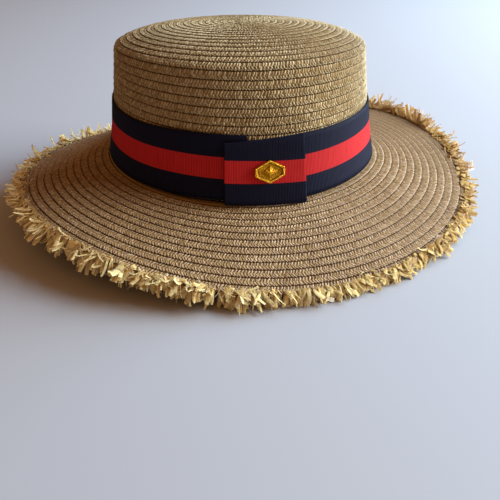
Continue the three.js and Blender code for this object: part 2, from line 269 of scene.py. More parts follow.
fibre_group, fibre_in, fibre_out = new_group(
    "straw_fibre",
    {"Place": "Vector", "Tone": "Float", "Dark": "Color", "Light": "Color", "Streaks": "Float"},
    {"Colour": "Color", "Roughness": "Float", "Height": "Float"},
)
tree = fibre_group
fibre_scale = put(tree, "ShaderNodeCombineXYZ", {0: fibre_in["Streaks"], 1: FIBRE_STRETCH}).outputs[0]
fibre_number = calc(tree, "MULTIPLY", fibre_in["Tone"], FIBRE_SHIFT)
fibre_shift = put(tree, "ShaderNodeCombineXYZ", {2: fibre_number}).outputs[0]
fibre_moves = {0: fibre_in["Place"], 1: fibre_scale, 2: fibre_shift}
fibre_place = put(tree, "ShaderNodeVectorMath", fibre_moves, operation="MULTIPLY_ADD").outputs[0]
fibre_streak = noise(tree, fibre_place, 1.0, FIBRE_DETAIL)
fibre_light = remap(tree, fibre_streak, *FIBRE_RANGE, 0, FIBRE_STREAK_SHARE)
fibre_tint = calc(tree, "MULTIPLY_ADD", fibre_in["Tone"], FIBRE_TONE_SHARE, fibre_light)
feed(tree, fibre_out, {
    "Colour": mix_colour(tree, fibre_tint, fibre_in["Dark"], fibre_in["Light"]),
    "Roughness": remap(tree, fibre_streak, *FIBRE_RANGE, *FIBRE_ROUGHNESS),
    "Height": fibre_streak,
})
print("group", tree.name, len(tree.nodes), "nodes")


def straw(tree, place, tone, tints, streaks):
    """The fibre group's outputs in a material, for a tone between two tints, with streaks to a unit."""
    dark, light = tints
    inputs = {"Place": place, "Tone": tone, "Dark": dark, "Light": light, "Streaks": streaks}
    return put(tree, "ShaderNodeGroup", inputs, node_tree=fibre_group).outputs


# %% The slow fade group
FADE_SCALE = 16.0
FADE_DETAIL = 3.0
FADE_RANGE = 0.35, 0.65
FADE_SHADE = (0.35, 0.27, 0.2, 1)

fade_group, fade_in, fade_out = new_group(
    "slow_fade", {"Colour": "Color", "Amount": "Float"}, {"Colour": "Color"}
)
tree = fade_group
fade_patches = noise(tree, object_place(tree), FADE_SCALE, FADE_DETAIL)
fade_share = calc(tree, "MULTIPLY", remap(tree, fade_patches, *FADE_RANGE, 0, 1), fade_in["Amount"])
feed(tree, fade_out, {"Colour": mix_colour(tree, fade_share, fade_in["Colour"], FADE_SHADE, "MULTIPLY")})
print("group", tree.name, len(tree.nodes), "nodes")


def fade(tree, colour, amount):
    """A colour in a material with the slow fade over it."""
    inputs = {"Colour": colour, "Amount": amount}
    return put(tree, "ShaderNodeGroup", inputs, node_tree=fade_group).outputs["Colour"]


# %% [markdown]
# ## The hat's shape as formulas
# Crown and brim are ovals that change slowly from row to row. A half length, a turn from the front and
# a height are enough to find any point, and the same few sizes as in the solids drive them. What
# changes round the turn is a sum of a few waves. Formulas are chosen over copying the solids' faces
# because rows, strands and ribbon can then be laid on the exact shape at any fineness.

# %% Waves round the turn
def wave(count, cosine=0.0, sine=0.0):
    """One wave that comes round a number of times in a turn, with the sizes of its two parts."""
    return {"count": count, "cosine": cosine, "sine": sine}


def wave_sum(waves, turn):
    """Sum of a few cosine and sine waves round the turn."""
    return sum(
        w["cosine"] * np.cos(w["count"] * turn) + w["sine"] * np.sin(w["count"] * turn) for w in waves
    )


# %% Sizes of the hat
crown_low, crown_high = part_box("crown")
_, brim_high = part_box("brim")
HEAD_HALF_LENGTH = (crown_high.y - crown_low.y) / 2
HEAD_HALF_WIDTH = crown_high.x
CROWN_SET_BACK = (crown_high.y + crown_low.y) / 2
BRIM_OUTER = brim_high.y
HEAD_LINE_HEIGHT = 37 * MM
WALL_TAPER = 0.111
FOOT_FLARE = 1.9 * MM
FLARE_HEIGHT = 20.8 * MM
RIM_RADIUS = 6.5 * MM
SHOULDER_HEIGHT = 84.2 * MM
SHOULDER_SLOPE = 0.487
TIP_DOME = 12.0 * MM
CROWN_LEAN = 0.054
HEAD_LINE_WAVES = (
    wave(1, cosine=-3.7 * MM, sine=0.2 * MM),
    wave(2, cosine=3.7 * MM, sine=-1.9 * MM),
    wave(3, cosine=0.9 * MM, sine=0.3 * MM),
)
STRAW_WALL = 2.0 * MM
CROWN_ROW_PITCH = 5.4 * MM
BRIM_ROW_PITCH = 5.8 * MM
ROW_STEP = 0.7 * MM
EDGE_DROP = 19.9 * MM
EDGE_WAVES = (
    wave(2, cosine=6.4 * MM, sine=9.3 * MM),
    wave(3, cosine=-0.7 * MM, sine=1.2 * MM),
    wave(4, cosine=-1.8 * MM),
)
BRIM_CURVE = 1.12
SEAT_GAP = 0.3 * MM

OVAL = HEAD_HALF_LENGTH - HEAD_HALF_WIDTH
WALL_ANGLE = np.arctan(WALL_TAPER)
CROWN_TOP = SHOULDER_HEIGHT + TIP_DOME
RIM_HEIGHT = SHOULDER_HEIGHT - RIM_RADIUS * np.cos(SHOULDER_SLOPE)
RIM_REACH = HEAD_HALF_LENGTH - FOOT_FLARE - WALL_TAPER * RIM_HEIGHT - RIM_RADIUS / np.cos(WALL_ANGLE)
RIM_BEND = np.pi / 2 - WALL_ANGLE - SHOULDER_SLOPE
TIP_EDGE = RIM_REACH + RIM_RADIUS * np.sin(SHOULDER_SLOPE)
TIP_POWER = np.tan(SHOULDER_SLOPE) * TIP_EDGE / TIP_DOME
WALL_TOP = RIM_HEIGHT + RIM_RADIUS * np.sin(WALL_ANGLE)
BRIM_INNER = HEAD_HALF_LENGTH - STRAW_WALL
print("half length of the head line", round(HEAD_HALF_LENGTH, 4), "and of the brim", round(BRIM_OUTER, 4))

# %% The dome of the tip, measured along its slope
TIP_STOPS = 400
tip_radii = np.linspace(0, TIP_EDGE, TIP_STOPS)
tip_heights = SHOULDER_HEIGHT + TIP_DOME * (1 - (tip_radii / TIP_EDGE) ** TIP_POWER)
tip_path = np.concatenate([[0], np.cumsum(np.hypot(np.diff(tip_radii), np.diff(tip_heights)))])
RIM_START = tip_path[-1]
WALL_START = RIM_START + RIM_RADIUS * RIM_BEND
CROWN_PATH = WALL_START + WALL_TOP / np.cos(WALL_ANGLE)
print("from the middle of the tip to the head line", round(CROWN_PATH, 4))


# %% Formulas of the crown
def wall_radius(height):
    """Half length of the crown's wall: it draws in evenly with height, and more so near its foot."""
    return HEAD_HALF_LENGTH - WALL_TAPER * height - FOOT_FLARE * np.minimum(height / FLARE_HEIGHT, 1)


def crown_point(radius, turn, height):
    """Point of the crown: an oval whose half width is its half length less a constant, or in proportion
    on the tip. The foot is bent by waves that fade upwards with the square of the height, and the whole
    leans sideways."""
    share = np.clip(height / CROWN_TOP, 0, 1) ** 2
    half_width = np.where(radius > TIP_EDGE, radius - OVAL, radius * (1 - OVAL / TIP_EDGE))
    x = half_width * np.sin(turn)
    y = CROWN_SET_BACK - radius * np.cos(turn)
    bend = wave_sum(HEAD_LINE_WAVES, turn) * (1 - share)
    z = HEAD_LINE_HEIGHT + height + bend - CROWN_LEAN * x * share
    return stacked(x + CROWN_LEAN * height, y, z)


def crown_profile(along, out):
    """Half length and height at a distance from the middle of the tip, moved out along the normal: a
    dome that is flat in its middle, then a round corner, then the slope of the wall."""
    tip_radius = np.interp(along, tip_path, tip_radii)
    tip_height = np.interp(along, tip_path, tip_heights)
    tip_slope = np.arctan(np.tan(SHOULDER_SLOPE) * (tip_radius / TIP_EDGE) ** (TIP_POWER - 1))
    corner = np.clip((along - RIM_START) / RIM_RADIUS, 0, RIM_BEND)
    slope = np.where(along < RIM_START, tip_slope, SHOULDER_SLOPE + corner)
    wall_height = WALL_TOP - (along - WALL_START) * np.cos(WALL_ANGLE)
    on = [along < RIM_START, along < WALL_START]
    radius = np.select(on, [tip_radius, RIM_REACH + RIM_RADIUS * np.sin(slope)], wall_radius(wall_height))
    height = np.select(on, [tip_height, RIM_HEIGHT + RIM_RADIUS * np.cos(slope)], wall_height)
    return radius + out * np.sin(slope), height + out * np.cos(slope)


# %% Formulas of the brim
def edge_height(turn):
    """Height of the brim's edge: a mean drop below the head line plus a few waves round the turn."""
    return HEAD_LINE_HEIGHT - EDGE_DROP + wave_sum(EDGE_WAVES, turn)


def brim_point(radius, turn, lift):
    """Point of the brim: ovals that keep the same difference of length and width, their height running
    from the head line to the edge along a power of the distance between them."""
    out = np.maximum((radius - BRIM_INNER) / (BRIM_OUTER - BRIM_INNER), 0)
    inside = np.minimum(out, 1)
    slope = inside**BRIM_CURVE
    head_line = HEAD_LINE_HEIGHT + wave_sum(HEAD_LINE_WAVES, turn) - 2 * SEAT_GAP
    x = (radius - OVAL) * np.sin(turn)
    y = CROWN_SET_BACK * (1 - inside) - radius * np.cos(turn)
    z = head_line * (1 - slope) + edge_height(turn) * slope + lift
    return stacked(x, y, z)


# %% [markdown]
# ## The sewn braid
# The braid is one flat strip, so it is modelled as one: a flat section carried along a spiral, tilted
# so that each row's free edge stands on the next row. That gives true laps, which catch light on one
# side and hold a dark line on the other. Turning whole rings instead would be simpler, but then no row
# would ever run into the next one.

# %% The two spirals
CROWN_ROWS = round(CROWN_PATH / CROWN_ROW_PITCH)
CROWN_PITCH = CROWN_PATH / CROWN_ROWS
BRIM_ROWS = round((BRIM_OUTER - BRIM_INNER) / BRIM_ROW_PITCH)
BRIM_PITCH = (BRIM_OUTER - BRIM_INNER) / BRIM_ROWS
CAMERA_SIDE = 0.75 * TURN
CROWN_FIRST_TURN = CAMERA_SIDE - 0.83 * TURN
BRIM_FIRST_TURN = CAMERA_SIDE
EYE_RADIUS = 0.3 * MM
EYE_WIDTH = 0.2 * MM
SLACK = 0.05 * MM
STOPS_PER_TURN = 720


def crown_spot(turn, across, out):
    """Point of the crown's braid: each whole turn moves it one row further from the middle of the tip,
    and across runs from 0 at the last row's free edge to 1 at its own."""
    along = CROWN_PITCH * (turn / TURN - 1 + across)
    along = np.clip(along, EYE_RADIUS + EYE_WIDTH * across, CROWN_PATH + SLACK * across)
    radius, height = crown_profile(along, out)
    return crown_point(radius, CROWN_FIRST_TURN + turn, height)


def brim_spot(turn, across, out):
    """Point of the brim's braid: the same spiral, from the head line out to the brim's edge."""
    radius = BRIM_INNER + BRIM_PITCH * (turn / TURN - 1 + across)
    radius = np.clip(radius, BRIM_INNER - SLACK * (1 - across), BRIM_OUTER + SLACK * across)
    return brim_point(radius, BRIM_FIRST_TURN + turn, out - ROW_STEP)


def even_turns(spot, first, last, spacing):
    """Turns at even distances along the middle of the rows, and the distance per radian at each."""
    fine = np.linspace(first * TURN, last * TURN, int((last - first) * STOPS_PER_TURN))
    steps = np.linalg.norm(np.diff(spot(fine, 0.5, 0.0), axis=0), axis=1)
    path = np.concatenate([[0], np.cumsum(steps)])
    count = int(path[-1] / spacing)
    turns = np.interp((np.arange(count) + 0.5) * path[-1] / count, path, fine)
    return turns, np.interp(turns, fine, np.gradient(path, fine))


print(CROWN_ROWS, "rows on the crown and", BRIM_ROWS, "on the brim")

# %% [markdown]
# ### Finish of the braid's ground
# Between the strands one looks into the inside of the braid, coloured a darker straw as painted shade in
# the holes and darkest in the groove under the last row's free edge, which is a painted shadow line, and
# from below one sees its back. The strip keeps a value for each point that says which of the two it is.
# The back gets the plait's chevrons as relief from its UV, whose second value runs across the row, and
# the low places of that relief take the same darker colour as painted shade.

# %% Ground finish
STRAND_SPACING = 2.05 * MM
STRAND_RANGE = 0.05, 0.3
# Painted shade: the groove colour darkens the strip under each row's free edge like a shadow, and the gap
# colour is the braid's straw drawn darker as shade in the holes between the strands.
GROOVE_PAINTED_SHADE = linear(58, 35, 14)
GROOVE_START = 0.4
GAP_PAINTED_SHADE = linear(150, 118, 70)
GROUND_TINTS = linear(128, 96, 62), linear(190, 156, 112)
GROUND_TONE = 0.5
GROUND_STREAKS = 4.0
GROUND_FADE = 0.25
GROUND_RELIEF = 0.35 * MM
GROUND_GLOSS = 0.05

ground, tree, shader = new_finish("braid_ground")
place = weave_map(tree)
along, across = split(tree, place)
strand_wave = zigzag(tree, calc(tree, "ADD", along, zigzag(tree, across)))
strand_body = remap(tree, strand_wave, *STRAND_RANGE, 0, 1)
fibre = straw(tree, place, GROUND_TONE, GROUND_TINTS, GROUND_STREAKS)
# Painted shade: the low places of the back's chevron relief take the darker gap colour.
back = fade(tree, mix_colour(tree, strand_body, GAP_PAINTED_SHADE, fibre["Colour"]), GROUND_FADE)
# The groove value fades the painted groove shadow out across the row.
out_of_groove = remap(tree, own(tree, "groove"), GROOVE_START, 1, 0, 1)
inside = mix_colour(tree, out_of_groove, GROOVE_PAINTED_SHADE, GAP_PAINTED_SHADE)
feed(tree, shader, {
    "Base Color": mix_colour(tree, own(tree, "covered"), back, inside),
    "Roughness": fibre["Roughness"],
    "Specular IOR Level": GROUND_GLOSS,
    "Normal": bump(tree, strand_body, GROUND_RELIEF),
})
print("finish", ground.name, len(tree.nodes), "nodes")

# %% The braid as one lapped strip
BRAID_THICKNESS = 0.9 * MM
BRAID_SINK = 0.22 * MM
BRAID_RISE = 0.52 * MM
BRAID_LAP = 0.2
BRAID_STEP = 4.0 * MM
BRAID_START = 0.02
SECTION_POINTS = 10
SECTION_POWER = 0.5
CROWN_GROOVE = 0.2
BRIM_GROOVE = 0.17


def flat_loop(count, power):
    """Closed outline of a flat strip as two shares, across it and through it. A circle's cosine and
    sine are raised to a power under one, which squares the circle off and leaves its corners round."""
    angle = TURN * (np.arange(count) + 0.5) / count
    parts = np.cos(angle), np.sin(angle)
    return tuple(0.5 + 0.5 * np.sign(part) * np.abs(part) ** power for part in parts)


def braid_top(across):
    """Height of the braid's upper side over the wall line, which rises evenly across the row."""
    return BRAID_RISE * across - BRAID_SINK


def braid_ground(name, spot, rows, groove_width):
    """A flat loop of points carried along the spiral: the loop reaches from under the last row to the
    free edge, and rises by one step on the way. The groove runs from 0 at the last row's edge to 1 at
    its own width."""
    turns, _ = even_turns(spot, BRAID_START, rows + 1, BRAID_STEP)
    share, through = flat_loop(SECTION_POINTS, SECTION_POWER)
    across = share * (1 + BRAID_LAP) - BRAID_LAP
    points = spot(turns[:, None], across, braid_top(across) - BRAID_THICKNESS * (1 - through))
    along = np.arange(len(turns))[:, None] * BRAID_STEP / STRAND_SPACING
    uv = stacked(along, across)
    covered = np.broadcast_to(through > 0.5, points.shape[:2])
    # This groove value marks where the ground finish paints the groove's shadow.
    groove = np.broadcast_to(across / groove_width, points.shape[:2])
    faces = loop_faces(1, len(turns), SECTION_POINTS)
    return make_piece(name, points, faces, ground, uv, covered=covered, groove=groove)


dress(braid_ground("crown_braid", crown_spot, CROWN_ROWS, CROWN_GROOVE), "straw_braid", "crown")
dress(braid_ground("brim_braid", brim_spot, BRIM_ROWS, BRIM_GROOVE), "straw_braid", "brim")

# %% [markdown]
# ## The plaited strands
# What one sees of a plait is a strand's short float, before it dives under its neighbour. Two columns
# of floats that slant opposite ways make the chevrons, and a third, nearly along the row, is the turned
# edge. Each float is a small three-sided bar with bent ends, so thousands of them stay light. A bump
# map would be lighter still, but its holes and edges would be flat in the mesh and lose their shade at
# a low light. The brim's straw is a little browner than the crown's. On both, the tone of rows and edges
# is painted paler or darker round the turn as painted light and shade, and the free edges are painted
# paler as a painted highlight.

# %% Strand finishes
CROWN_TINTS = linear(143, 121, 77), linear(214, 196, 152)
BRIM_TINTS = linear(128, 101, 64), linear(208, 183, 148)
STRAW_STREAKS = 5.0
STRAW_FADE = 0.3
STRAW_RELIEF = 0.15 * MM
STRAW_GLOSS = 0.25


def straw_finish(name, tints):
    """Straw strands whose tone runs from a dark to a light tint, with fine fibres and the slow fade."""
    finish, tree, shader = new_finish(name)
    fibre = straw(tree, weave_map(tree), own(tree, "tone"), tints, STRAW_STREAKS)
    feed(tree, shader, {
        "Base Color": fade(tree, fibre["Colour"], STRAW_FADE),
        "Roughness": fibre["Roughness"],
        "Specular IOR Level": STRAW_GLOSS,
        "Normal": bump(tree, fibre["Height"], STRAW_RELIEF),
    })
    print("finish", name, len(tree.nodes), "nodes")
    return finish


crown_straw = straw_finish("crown_straw", CROWN_TINTS)
brim_straw = straw_finish("brim_straw", BRIM_TINTS)

# %% Styles of the plait
# Painted light and shade: each style's row and edge tone waves make rows and edges paler or darker round
# the turn to stand in for how the light falls, and lift the free edges as a painted highlight.
TIP_STYLE = {
    "finish": crown_straw, "width": 1.6 * MM, "relief": 0.8, "evenness": 1.6, "edge_reach": 0.065,
    "columns": (
        {"start": 0.06, "end": 0.66, "slant": -1.1 * MM, "stagger": 0.0},
        {"start": 0.55, "end": 0.94, "slant": 0.7 * MM, "stagger": 0.5},
    ),
    "row_painted_light": (wave(1, cosine=0.07, sine=0.04),),
    "edge_painted_light": (wave(0, cosine=0.05), wave(1, cosine=-0.28, sine=-0.15)),
}
WALL_STYLE = {
    "finish": crown_straw, "width": 1.5 * MM, "relief": 1.2, "evenness": 1.1, "edge_reach": 0.065,
    "columns": (
        {"start": 0.12, "end": 0.68, "slant": -1.1 * MM, "stagger": 0.0},
        {"start": 0.58, "end": 0.94, "slant": 0.8 * MM, "stagger": 0.5},
    ),
    "row_painted_light": (wave(1, cosine=0.07, sine=-0.12),),
    "edge_painted_light": (wave(0, cosine=0.15),),
}
BRIM_STYLE = {
    "finish": brim_straw, "width": 1.55 * MM, "relief": 0.6, "evenness": 1.8, "edge_reach": 0.08,
    "columns": (
        {"start": 0.075, "end": 0.53, "slant": -1.2 * MM, "stagger": 0.0},
        {"start": 0.45, "end": 0.93, "slant": 1.2 * MM, "stagger": 0.5},
    ),
    "row_painted_light": (wave(0, cosine=-0.15), wave(1, sine=-0.36), wave(2, sine=0.46)),
    "edge_painted_light": (wave(0, cosine=0.1), wave(1, sine=0.25), wave(2, sine=0.1)),
}
print("styles with", [len(style["columns"]) for style in (TIP_STYLE, WALL_STYLE, BRIM_STYLE)], "columns")

# %% The floats of the plait
SIDES = np.array([-1.0, 0.0, 1.0])
FLOAT_STOPS = np.array([0.0, 0.22, 0.78, 1.0])
FLOAT_WIDTHS = np.array([0.55, 1.0, 1.0, 0.55])
FLOAT_RISES = np.array([-0.2, 0.42, 0.42, -0.2]) * MM
FLOAT_CRESTS = (1 - np.abs(SIDES)) * FLOAT_RISES[:, None]
FLOAT_JITTER = 0.28 * MM
FLOAT_SIDE_SINK = 0.05 * MM
SIZE_RANGE = 0.75, 1.2
SHIFT_RANGE = -0.05, 0.05
SLANT_RANGE = 0.4, 1.5
CREST_RANGE = 0.6, 1.25
EDGE_SIZE_RANGE = 0.7, 1.15
EDGE_LENGTH = 0.95 * STRAND_SPACING
EDGE_SPOT = 0.86
EDGE_SLANT = 0.15
EDGE_HANG = 0.25 * MM
EDGE_RELIEF = 0.65


def slanted_floats(spot, turns, speed, column, style, rng):
    """Floats that cross part of the row: along each one the place across the row runs evenly, the place
    along the row by the slant, and the middle line rises and dives at both ends."""
    size = rng.uniform(*SIZE_RANGE, (len(turns), 1, 1))
    across = (column["start"] + (column["end"] - column["start"]) * FLOAT_STOPS)[None, :, None]
    across = across + rng.uniform(*SHIFT_RANGE, size.shape)
    aside = column["slant"] * (FLOAT_STOPS - 0.5)[None, :, None] * rng.uniform(*SLANT_RANGE, size.shape)
    aside = aside + rng.normal(0, FLOAT_JITTER, size.shape)
    aside = aside + (SIDES * FLOAT_WIDTHS[:, None])[None] * style["width"] / 2 * size
    aside = aside + column["stagger"] * STRAND_SPACING
    crest = style["relief"] * FLOAT_CRESTS[None] * rng.uniform(*CREST_RANGE, size.shape)
    rise = braid_top(across) + crest - FLOAT_SIDE_SINK * np.abs(SIDES)
    return spot(turns[:, None, None] + aside / speed[:, None, None], across, rise)


def edge_floats(spot, turns, speed, style, rng):
    """Floats of the turned edge: long ones that run along the row with a small slant, so that each lies
    over the next, and hang over the free edge."""
    size = rng.uniform(*EDGE_SIZE_RANGE, (len(turns), 1, 1))
    aside = (EDGE_LENGTH * (FLOAT_STOPS - 0.5))[None, :, None] * np.ones((1, 1, len(SIDES)))
    aside = aside + rng.normal(0, FLOAT_JITTER, size.shape)
    across = EDGE_SPOT + (EDGE_SLANT * FLOAT_STOPS)[None, :, None] + style["edge_reach"] * SIDES * size
    rise = braid_top(across) + EDGE_RELIEF * FLOAT_CRESTS[None] * size - EDGE_HANG * (SIDES > 0)
    return spot(turns[:, None, None] + aside / speed[:, None, None], across, rise)


# %% The plait in four pieces
PLAIT_SEED = 11
BAND_TOP = 42.4 * MM
ROWS_PAST_BAND = 2.2
RIM_ROW = RIM_START / CROWN_PITCH + 1
BAND_ROW = (WALL_START + (WALL_TOP - BAND_TOP) / np.cos(WALL_ANGLE)) / CROWN_PITCH
TIP_FIRST_ROW = 0.3
BRIM_FIRST_ROW = 1.0
BRIM_MIDDLE_ROW = 7.5
BRIM_LAST_ROW = BRIM_ROWS + 0.97


def plait(name, spot, first, last, seed, style):
    """All floats between two rows, as one mesh of small closed bars. Waves round the turn make the rows
    and their edges paler or darker as painted light and shade, and paint the edges paler as a highlight."""
    rng = np.random.default_rng((PLAIT_SEED, seed))
    turns, speed = even_turns(spot, first, last, STRAND_SPACING)
    columns = [slanted_floats(spot, turns, speed, column, style, rng) for column in style["columns"]]
    points = np.concatenate([*columns, edge_floats(spot, turns, speed, style, rng)])
    tone = rng.beta(style["evenness"], style["evenness"], (len(points), 1, 1))
    # Painted light and shade: tone shifts round the turn for the rows and for their edges.
    row_light_shift = np.tile(wave_sum(style["row_painted_light"], turns), len(columns))
    light_shift = np.concatenate([row_light_shift, wave_sum(style["edge_painted_light"], turns)])
    tone = np.broadcast_to(np.clip(tone + light_shift[:, None, None], 0, 1), points.shape[:3])
    uv = stacked((SIDES + 1) / 2, FLOAT_STOPS[:, None], tone)[..., :2]
    faces = loop_faces(len(points), len(FLOAT_STOPS), len(SIDES))
    dress(make_piece(name, points, faces, style["finish"], uv, tone=tone), "straw_braid")


plait("tip_plait", crown_spot, TIP_FIRST_ROW, RIM_ROW, 1, TIP_STYLE)
plait("side_plait", crown_spot, RIM_ROW, BAND_ROW + ROWS_PAST_BAND, 2, WALL_STYLE)
plait("inner_brim_plait", brim_spot, BRIM_FIRST_ROW, BRIM_MIDDLE_ROW, 3, BRIM_STYLE)
plait("outer_brim_plait", brim_spot, BRIM_MIDDLE_ROW, BRIM_LAST_ROW, 4, BRIM_STYLE)

# %% [markdown]
# ## The ribbon
# Grosgrain has a thick weft, which shows as fine upright ribs. A red stripe runs between two navy
# ones. The ribs are real waves in the mesh, four points to a rib, and the stripes follow the ribbon's own
# UV, in which one unit along is one rib and one unit across is the whole width. Each rib's colour also
# runs from a dark to a light tint across it, which is painted rib shading, mixed with a random speckle.

# %% Ribbon finish
NAVY_TINTS = linear(3, 3, 10), linear(18, 21, 50)
RED_TINTS = linear(128, 7, 5), linear(230, 50, 51)
STRIPE_LOW = 0.336
STRIPE_HIGH = 0.664
THREADS_ACROSS = 90.0
SPECKLE_SCALE = 3.1
SPECKLE_DETAIL = 2.0
SPECKLE_SHARE = 0.5
RIBBON_ROUGHNESS = 0.85, 0.6
RIBBON_GLOSS = 0.15
RIBBON_RELIEF = 0.08 * MM

grosgrain, tree, shader = new_finish("grosgrain")
place = weave_map(tree)
along, across = split(tree, place)
# Painted shade: each rib's colour runs from the dark to the light tint across it, as rib shading.
rib_painted_shade = remap(tree, zigzag(tree, along), 0, 0.5, 0, 1 - SPECKLE_SHARE)
thread = zigzag(tree, calc(tree, "MULTIPLY", across, THREADS_ACROSS))
speckle = noise(tree, place, SPECKLE_SCALE, SPECKLE_DETAIL)
rib_shade_and_speckle = calc(tree, "MULTIPLY_ADD", speckle, SPECKLE_SHARE, rib_painted_shade)
navy = mix_colour(tree, rib_shade_and_speckle, *NAVY_TINTS)
red = mix_colour(tree, rib_shade_and_speckle, *RED_TINTS)
above = calc(tree, "GREATER_THAN", across, STRIPE_LOW)
below = calc(tree, "LESS_THAN", across, STRIPE_HIGH)
feed(tree, shader, {
    "Base Color": mix_colour(tree, calc(tree, "MULTIPLY", above, below), navy, red),
    "Roughness": remap(tree, rib_shade_and_speckle, 0, 1, *RIBBON_ROUGHNESS),
    "Specular IOR Level": RIBBON_GLOSS,
    "Normal": bump(tree, calc(tree, "ADD", thread, speckle), RIBBON_RELIEF),
})
print("finish", grosgrain.name, len(tree.nodes), "nodes")

# %% Section and ribs of the ribbon
RIBBON_THICKNESS = 0.9 * MM
RIBBON_WIDTH = 43.2 * MM
RIB_WIDTH = 1.05 * MM
RIB_RISE = 0.09 * MM
POINTS_PER_RIB = 4
RIBBON_SECTION = 10
RIBBON_POWER = 0.35
ribbon_up, ribbon_through = flat_loop(RIBBON_SECTION, RIBBON_POWER)


def rib_waves(along, ribs):
    """Height of the ribs on the outer side of the ribbon: one cosine wave for each rib along it."""
    return RIB_RISE * np.cos(TURN * ribs * along) * (ribbon_through > 0.5)


print("ribs", RIB_WIDTH / MM, "mm apart on a ribbon", RIBBON_WIDTH / MM, "mm wide")

# %% The band round the crown
RIBBON_FOOT = -0.8 * MM
RIBBON_SEAT = ROW_STEP + SEAT_GAP
RIBBON_START_TURN = 1.485 * np.pi
RIBBON_OVERLAP_TURN = 0.075
RIBBON_END_RISE = 2.0 * MM
RIBBON_END_RAMP = 0.16
RIBBON_START_DROP = 1.8 * MM
RIBBON_START_RAMP = 0.075
BAND_STOPS = 2000


def smooth_step(value, low, high):
    """Rises from 0 at low to 1 at high along a cubic that starts and ends level."""
    share = np.clip((value - low) / (high - low), 0, 1)
    return share * share * (3 - 2 * share)


def band_point(along, up, out):
    """Point of the band: a share along the strip gives the turn, a share up it the height on the wall.
    Its last part climbs over its start in a smooth step, and the start's upper edge is drawn down."""
    turn = RIBBON_START_TURN + along * (TURN + RIBBON_OVERLAP_TURN)
    ramp = smooth_step(along, 1 - RIBBON_END_RAMP, 1 - RIBBON_END_RAMP / 3)
    drop = RIBBON_START_DROP * (1 - smooth_step(along, 0, RIBBON_START_RAMP))
    height = RIBBON_FOOT + up * (RIBBON_WIDTH - drop) + RIBBON_END_RISE * ramp
    layer = RIBBON_SEAT + ramp * (RIBBON_THICKNESS + SEAT_GAP)
    return crown_point(wall_radius(height) + layer + out, turn, height)


band_middle = band_point(np.linspace(0, 1, BAND_STOPS), 0.5, RIBBON_THICKNESS / 2)
band_length = float(np.linalg.norm(np.diff(band_middle, axis=0), axis=1).sum())
band_ribs = round(band_length / RIB_WIDTH)
band_along = np.linspace(0, 1, band_ribs * POINTS_PER_RIB + 1)[:, None]
band_skin = RIBBON_THICKNESS * ribbon_through + rib_waves(band_along, band_ribs)
band_points = band_point(band_along, ribbon_up, band_skin)
band_uv = stacked(band_along * band_ribs, ribbon_up)
band_faces = loop_faces(1, len(band_along), RIBBON_SECTION)
band = make_piece("band_ribbon", band_points, band_faces, grosgrain, band_uv)
dress(band, "striped_ribbon", "ribbon_band")
print("band", round(band_length, 4), "m long with", band_ribs, "ribs")

# %% [markdown]
# ### The keeper
# The keeper is a length of the same ribbon folded into a flat loop, which hides where the band's ends
# meet. Its path seen from above is a long loop with straight sides and round ends, bent to the crown.

# %% Formulas of the keeper
KEEPER_WIDTH = 55.2 * MM
KEEPER_HEIGHT = 43.2 * MM
KEEPER_THICKNESS = 2.0 * MM
KEEPER_FOOT = -1.2 * MM
KEEPER_TILT = -1.0 * MM
KEEPER_SLANT = 2.9 * MM
KEEPER_TURN = 1.5 * np.pi + 0.145
KEEPER_END_STAND = 1.7 * MM
KEEPER_UNDER = RIBBON_SEAT + 2 * (RIBBON_THICKNESS + SEAT_GAP)


def keeper_point(aside, up, out):
    """Point of the keeper: a distance aside from its middle, a share up it and a distance out from the
    band. Its ends stand off the curved crown by the square of the distance, and it is straight from
    foot to top."""
    side = aside / (KEEPER_WIDTH / 2)
    height = KEEPER_FOOT + up * KEEPER_HEIGHT + (KEEPER_TILT + KEEPER_SLANT * up) * side
    wall = wall_radius(KEEPER_FOOT) * (1 - up) + wall_radius(KEEPER_FOOT + KEEPER_HEIGHT) * up
    radius = wall + KEEPER_UNDER + KEEPER_END_STAND * side**2 + out
    return crown_point(radius, KEEPER_TURN + aside / HEAD_HALF_LENGTH, height)


def folded_path(distance, straight, fold):
    """Middle line of a flat loop, as places aside and out and the outward normal: front, half circle,
    back, half circle."""
    turn_end = straight + np.pi * fold
    right = (distance - straight) / fold
    left = (distance - turn_end - straight) / fold
    half = straight / 2
    on = [distance < straight, distance < turn_end, distance < turn_end + straight]
    front_to_back = [distance - half, half + fold * np.sin(right), half - distance + turn_end]
    aside = np.select(on, front_to_back, -half - fold * np.sin(left))
    out = np.select(on, [fold, fold * np.cos(right), -fold], -fold * np.cos(left))
    normal_aside = np.select(on, [0, np.sin(right), 0], -np.sin(left))
    normal_out = np.select(on, [1, np.cos(right), -1], -np.cos(left))
    return aside, out, normal_aside, normal_out


# %% Keeper
KEEPER_LAYER = 0.75 * MM
KEEPER_STRIPE_SPAN = 45 * MM

keeper_fold = (KEEPER_THICKNESS - KEEPER_LAYER) / 2
keeper_straight = KEEPER_WIDTH - KEEPER_THICKNESS
keeper_length = 2 * keeper_straight + TURN * keeper_fold
keeper_ribs = round(keeper_length / RIB_WIDTH)
keeper_stops = np.arange(keeper_ribs * POINTS_PER_RIB)[:, None] / (keeper_ribs * POINTS_PER_RIB)
path_aside, path_out, normal_aside, normal_out = folded_path(
    keeper_stops * keeper_length, keeper_straight, keeper_fold
)
keeper_skin = KEEPER_LAYER * (ribbon_through - 0.5) + rib_waves(keeper_stops, keeper_ribs)
keeper_aside = path_aside + normal_aside * keeper_skin
keeper_out = KEEPER_THICKNESS / 2 + path_out + normal_out * keeper_skin
keeper_points = keeper_point(keeper_aside, ribbon_up, keeper_out)
keeper_rise = ribbon_up * (KEEPER_HEIGHT + KEEPER_SLANT * path_aside / (KEEPER_WIDTH / 2))
